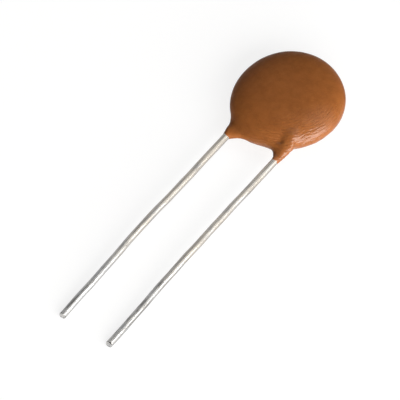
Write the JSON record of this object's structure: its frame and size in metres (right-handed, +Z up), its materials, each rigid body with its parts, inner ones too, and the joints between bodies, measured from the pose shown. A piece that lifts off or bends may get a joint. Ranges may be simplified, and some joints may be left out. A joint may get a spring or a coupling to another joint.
{
  "type": "ceramic disc capacitor",
  "caption": "Ceramic disc capacitor: a domed round body dipped in glossy orange-brown resin, with parallel tinned wire leads for soldering into a board.",
  "frame": {"origin": "centre of the footprint, on the surface that the part lies on: the middle of the underside's dome and both cut lead ends touch it", "axes": "+Z up, square to the faces of the disc; +Y along the leads, from their cut ends towards the disc; +X across the leads, from the back lead to the front lead"},
  "size_m": [0.0094, 0.0316, 0.003],
  "materials": {
    "resin": "gloss",
    "ceramic": "matte",
    "silver": "satin",
    "solder": "satin",
    "tinned_wire": "gloss"
  },
  "bodies": {
    "root": {"coating": "resin", "ceramic_disc": "ceramic", "front_electrode": "silver", "back_electrode": "silver", "front_solder": "solder", "back_solder": "solder", "front_lead": "tinned_wire", "back_lead": "tinned_wire"}
  },
  "joints": []
}
